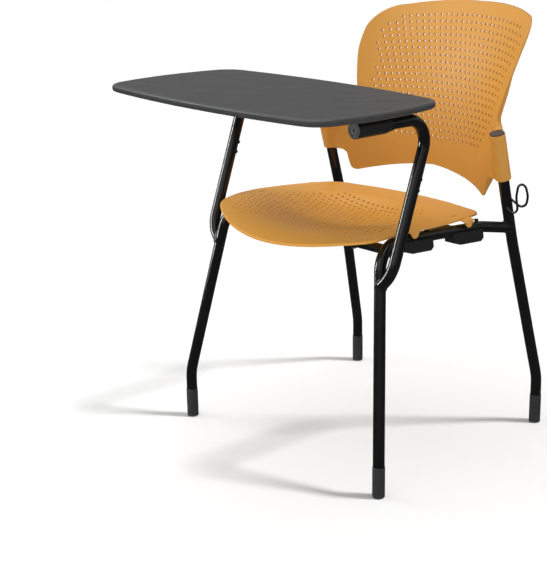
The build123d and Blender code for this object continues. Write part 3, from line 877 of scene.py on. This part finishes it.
def back_surface(u, z):
    """Front face of the back. Past the blend, u runs on round the socket."""
    side, u = (-1.0, -u) if u < 0 else (1.0, u)
    if u <= blend_start_mm:
        return side * u, back_depth(u, z), z
    if u >= wrap_mm:
        x, y, _ = socket_point(wrap_start + (u - wrap_mm) / socket_radius_mm, z)
        return side * x, y, z
    plain = Vector((u, back_depth(u, z)))
    share = smooth_step((666.0 - z) / 34.0) * smooth_step((z - 492.0) / 30.0)
    if share == 0.0:
        return side * plain.x, plain.y, z
    start = Vector((blend_start_mm, back_depth(blend_start_mm, z)))
    slope = back_depth(blend_start_mm + 0.5, z) - back_depth(blend_start_mm - 0.5, z)
    leave = Vector((1.0, slope)).normalized()
    end = Vector(socket_point(wrap_start, z)[:2])
    arrive = Vector((math.cos(wrap_start), math.sin(wrap_start) * slant)).normalized()
    reach = (end - start).length * 0.38
    t = (u - blend_start_mm) / blend_length_mm
    s = 1 - t
    a, b = start + leave * reach, end - arrive * reach
    point = start * s ** 3 + a * 3 * s * s * t + b * 3 * s * t * t + end * t ** 3
    point = plain.lerp(point, share)
    return side * point.x, point.y, z


def back_sink(u, z, normal):
    """Straight back over the panel, and toward the upright's axis round the sockets."""
    low = smooth_step((648.0 - z) / 16.0) * smooth_step((z - 500.0) / 30.0)
    turn = smooth_step((abs(u) - 190.0) / 25.0) * max(low, 1.0 if abs(u) > wrap_mm else 0.0)
    way = np.array((0, 1.0, 0)) * (1 - turn) - normal * turn
    return way / np.linalg.norm(way)


def back_rim(u, z):
    """The edge is turned back beside the sockets and on the lobes below them."""
    u = abs(u)
    beside = 8.5 * smooth_step((745.0 - z) / 75.0)
    beside = beside * smooth_step((u - 188.0) / 5.0) * smooth_step((214.0 - u) / 8.0)
    lobe = 14.0 * smooth_step((z - 489.0) / 38.0)
    lobe = lobe * smooth_step((u - 178.0) / 8.0) * smooth_step((212.0 - u) / 8.0)
    turned = beside if z > 600 else 0.0
    hanging = lobe if z < 545 else 0.0
    return back_gauge_mm + 0.25 + turned + hanging


def socket_edge(height, backwards):
    """The round end of a socket, square to the upright."""
    count = 46
    line = []
    for k in range(count + 1):
        angle = wrap_start + (wrap_end - wrap_start) * k / count
        drop = upright_lean * socket_radius_mm * slant * math.cos(angle) / slant ** 2
        line.append((wrap_mm + (angle - wrap_start) * socket_radius_mm, height - drop))
    return line[::-1] if backwards else line


def back_outline():
    """Front view of the back, counter-clockwise from the middle of its lower edge."""
    lower, upper = socket_edge(socket_ends_mm[0], False), socket_edge(socket_ends_mm[1], True)
    end_side = [(wrap_last_mm, z) for z in np.linspace(lower[-1][1], upper[0][1], 20)]
    half = joined(
        three_point_arc((0, 517), (92, 506), (172, 488.5), 5.0),
        three_point_arc((172, 488.5), (182, 489.5), (188, 497), 2.0),
        [(188, 497), (190, 503.3), (192, 509.7), (194, 516)],
        three_point_arc((194, 516), (199, 527.5), (212, 531.0), 2.0),
        [(212 + 26 * k / 8, 531.0 + (lower[0][1] - 531.0) * k / 8) for k in range(9)],
        lower, end_side, upper,
        [(238 - 27 * k / 8, upper[-1][1] + (627.5 - upper[-1][1]) * (k / 8) ** 1.5) for k in range(9)],
        three_point_arc((211, 627.5), (198, 634), (195, 652), 2.0),
        flowing_curve(((195, 652), (204, 696), (213, 742), (215, 781)), (0.1, 1), (0, 1), 5.0),
        three_point_arc((215, 781), (203, 814), (166, 832), 3.0),
        three_point_arc((166, 832), (88, 843), (0, 845.5), 5.0))
    other = [(-u, z) for u, z in half[::-1]]
    return half[:-1] + other[:-1]


def back_hole_places():
    """Staggered rows of holes that bow downward at their ends."""
    pitch_x, pitch_z = back_pitch_mm
    places = []
    for row, half in enumerate(back_row_halves):
        bow = (3.9 - 0.228 * row) * 1e-4
        count = round(2 * half)
        for k in range(count + 1):
            x = (k - half) * pitch_x
            places.append((x, back_hole_top_mm - pitch_z * row - bow * x * x))
    return places


def make_back():
    outline = back_outline()
    centres = back_hole_places()
    holes = []
    for x, z in centres:
        slope = back_depth(x + 0.5, z) - back_depth(x - 0.5, z)
        holes.append(oval((x, z), hole_cut_mm / math.hypot(1, slope), hole_cut_mm))
    panel = hex_grid((-236, 480), (236, 860), 8.0, 7.0)
    wraps = hex_grid((236, 525), (wrap_last_mm, 630), 2.8, 9.0)
    wraps = np.vstack([wraps, wraps * (-1, 1)])
    blends = hex_grid((200, 525), (236, 632), 4.0, 6.0)
    blends = np.vstack([blends, blends * (-1, 1)])
    panel = panel[np.abs(panel[:, 0]) < 198]
    grid = clear_grid(np.vstack([panel, blends, wraps]), outline, centres, 4.5, 4.6)
    moulding = Moulding(back_surface, back_sink, back_rim, back_gauge_mm)
    moulding.build(outline, holes, grid)
    back = moulding.piece("back_moulding")
    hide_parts("back_shell")


# ---------------------------------------------------------------- frame tubes
tube_radius_mm = 11.0
front_foot_mm = (274.0, -243.0)
rear_foot_mm = (262.0, 243.0)
foot_floor_mm = 6.0
foot_bend_mm = (101.0, 130.0)
leg_top_mm = (213.5, -179.0, 459.8)
leg_top_radius_mm = 56.0
rail_rear_mm = (213.0, 104.0, 440.0)
rail_rear_radius_mm = 40.0
rail_end_mm = (240.0, 163.0, 432.0)
rear_knee_mm = (240.0, 172.5, 403.0)
rear_knee_radius_mm = 260.0
upright_top_mm = 619.0
arm_x_mm = 252.0
arm_lean = 0.36
arm_front_y_mm = -272.0
elbow_mm = (-90.0, 685.5)
elbow_radius_mm = 42.0
arm_heel_mm = 403.0
arm_heel_radius_mm = 58.0
arm_weld_mm = (226.0, -192.6, 385.0)
wire_radius_mm = 2.4
sides = (("left", 1.0), ("right", -1.0))


def mirrored(points, side):
    return [at(side * x, y, z) for x, y, z in points]


def front_leg_route():
    x, y = front_foot_mm
    return [(x, y, foot_floor_mm), (x, y, foot_bend_mm[0]), leg_top_mm, rail_rear_mm, rail_end_mm]


def rear_leg_route():
    x, y = rear_foot_mm
    top = (rear_knee_mm[0], upright_y(upright_top_mm), upright_top_mm)
    return [(x, y, foot_floor_mm), (x, y, foot_bend_mm[0]), rear_knee_mm, top]


def arm_route():
    heel_y = elbow_mm[0] - (elbow_mm[1] - arm_heel_mm) * arm_lean
    return [(arm_x_mm, arm_front_y_mm, elbow_mm[1]), (arm_x_mm, *elbow_mm),
            (arm_x_mm, heel_y, arm_heel_mm), arm_weld_mm]


def bent_centreline(points, radii):
    """Straight runs joined by tangent arcs, as points with about 3 degrees between them on the arcs."""
    line = [points[0]]
    for before, corner, after, radius in zip(points, points[1:], points[2:], radii):
        arriving, leaving = (corner - before).normalized(), (after - corner).normalized()
        turn = arriving.angle(leaving)
        reach = radius * math.tan(turn / 2)
        start, normal = corner - arriving * reach, arriving.cross(leaving).normalized()
        centre = start + normal.cross(arriving) * radius
        count = max(3, math.ceil(math.degrees(turn) / 3))
        for k in range(count + 1):
            angle = turn * k / count
            spoke = (start - centre) * math.cos(angle) + normal.cross(start - centre) * math.sin(angle)
            line.append(centre + spoke)
    line.append(points[-1])
    return line


def tube_mesh(line, radii, around=36, closed=False):
    """Rings of vertices along a line, with as little twist between them as possible, and capped ends."""
    count = len(line)
    ways = []
    for k in range(count):
        before = line[k - 1] if k or closed else line[k]
        after = line[(k + 1) % count] if k < count - 1 or closed else line[k]
        ways.append((after - before).normalized())
    side = ways[0].orthogonal().normalized()
    vertices, normals, faces = [], [], []
    for k, (point, way) in enumerate(zip(line, ways)):
        side = (side - way * side.dot(way)).normalized()
        up = way.cross(side)
        radius = radii[k] if hasattr(radii, "__len__") else radii
        for j in range(around):
            angle = 2 * math.pi * j / around
            out = side * math.cos(angle) + up * math.sin(angle)
            vertices.append(point + out * radius)
            normals.append(out)
    for k in range(count if closed else count - 1):
        a, b = k * around, ((k + 1) % count) * around
        for j in range(around):
            i = (j + 1) % around
            faces.append((a + j, a + i, b + i, b + j))
    if not closed:
        for base, way, flip in ((0, -ways[0], True), ((count - 1) * around, ways[-1], False)):
            ring = list(range(base, base + around))
            start = len(vertices)
            vertices += [vertices[i] for i in ring]
            normals += [way] * around
            cap = list(range(start, start + around))
            faces.append(tuple(cap[::-1] if flip else cap))
    return vertices, faces, normals


def add_tube(name, line, radii, replaced=(), around=36, closed=False):
    vertices, faces, normals = tube_mesh(line, radii, around, closed)
    piece = add_piece(name, vertices, faces, "black_powder_coat", normals=normals)
    if replaced:
        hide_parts(*replaced)


def weld_bead(name, origin, way, branch_radius, main_point, main_way, main_radius):
    """The rippled bead where a branch tube runs into the side of another tube."""
    way, main_way = way.normalized(), main_way.normalized()
    side = way.orthogonal().normalized()
    up = way.cross(side)
    line, radii = [], []
    count = 96
    for k in range(count):
        angle = 2 * math.pi * k / count
        start = origin + (side * math.cos(angle) + up * math.sin(angle)) * branch_radius
        gap = start - main_point
        a_vec = way - main_way * way.dot(main_way)
        b_vec = gap - main_way * gap.dot(main_way)
        a, b, c = a_vec.dot(a_vec), 2 * a_vec.dot(b_vec), b_vec.dot(b_vec) - main_radius ** 2
        root = math.sqrt(max(b * b - 4 * a * c, 0.0))
        line.append(start + way * ((-b - root) / (2 * a)))
        radii.append((2.0 + 0.35 * math.sin(14 * angle) + 0.2 * math.sin(5 * angle + 1)) * MM)
    add_tube(name, line, radii, around=10, closed=True)


def make_frame_tubes():
    radius = tube_radius_mm * MM
    for name, side in sides:
        front = mirrored(front_leg_route(), side)
        bends = [foot_bend_mm[1] * MM, leg_top_radius_mm * MM, rail_rear_radius_mm * MM]
        add_tube(f"front_leg_tube_{name}", bent_centreline(front, bends), radius,
                 (f"front_leg_rail_{name}",))
        rear = mirrored(rear_leg_route(), side)
        bends = [foot_bend_mm[1] * MM, rear_knee_radius_mm * MM]
        add_tube(f"rear_leg_tube_{name}", bent_centreline(rear, bends), radius, (f"rear_leg_{name}",))
        arm = mirrored(arm_route(), side)
        bends = [elbow_radius_mm * MM, arm_heel_radius_mm * MM]
        add_tube(f"arm_tube_{name}", bent_centreline(arm, bends), radius, (f"arm_{name}",))
        weld_bead(f"weld_arm_{name}", arm[2], arm[3] - arm[2], radius,
                  front[1], front[2] - front[1], radius)
        weld_bead(f"weld_rail_{name}", front[3], front[4] - front[3], radius,
                  rear[2], rear[3] - rear[2], radius)
    for name, (y, z) in zip(("front", "rear"), crossbars_mm):
        ends = [at(-rail_rear_mm[0], y, z), at(rail_rear_mm[0], y, z)]
        middle, bar = (ends[0] + ends[1]) / 2, crossbar_radius_mm * MM
        add_tube(f"{name}_crossbar_tube", ends, bar, (f"{name}_crossbar",))
        for label, side in sides:
            rail = mirrored(front_leg_route(), side)[2:4]
            weld_bead(f"weld_{name}_bar_{label}", middle, ends[0 if side < 0 else 1] - middle, bar,
                      rail[0], rail[1] - rail[0], radius)


# ---------------------------------------------------------------- linking loop
loop_route_mm = ((240, 145, 481), (258, 145, 466.5), (272.5, 145, 474), (265.0, 148, 500),
                 (269.5, 148, 524.5), (285.0, 148, 529.5), (293.5, 148, 508), (288.5, 150.5, 487.5),
                 (274.5, 150.5, 481.5), (240, 150.5, 499))
loop_bends_mm = (11, 9, 30, 10, 10, 24, 16, 14)


def make_ganging_loop():
    """The bent wire eye on the left upright that links chairs in a row."""
    line = bent_centreline([at(*p) for p in loop_route_mm], [r * MM for r in loop_bends_mm])
    add_tube("ganging_loop_wire", line, wire_radius_mm * MM, ("ganging_loop",), around=16)


# ---------------------------------------------------------------- the whole scene
lamps = make_lamps()
make_sky()
make_floor(lamps[0])
finish_cad_nodes()
make_frame_tubes()
make_ganging_loop()
make_seat()
make_seat_lugs()
make_seat_bosses()
make_back()
aim_lamps(*lamps)
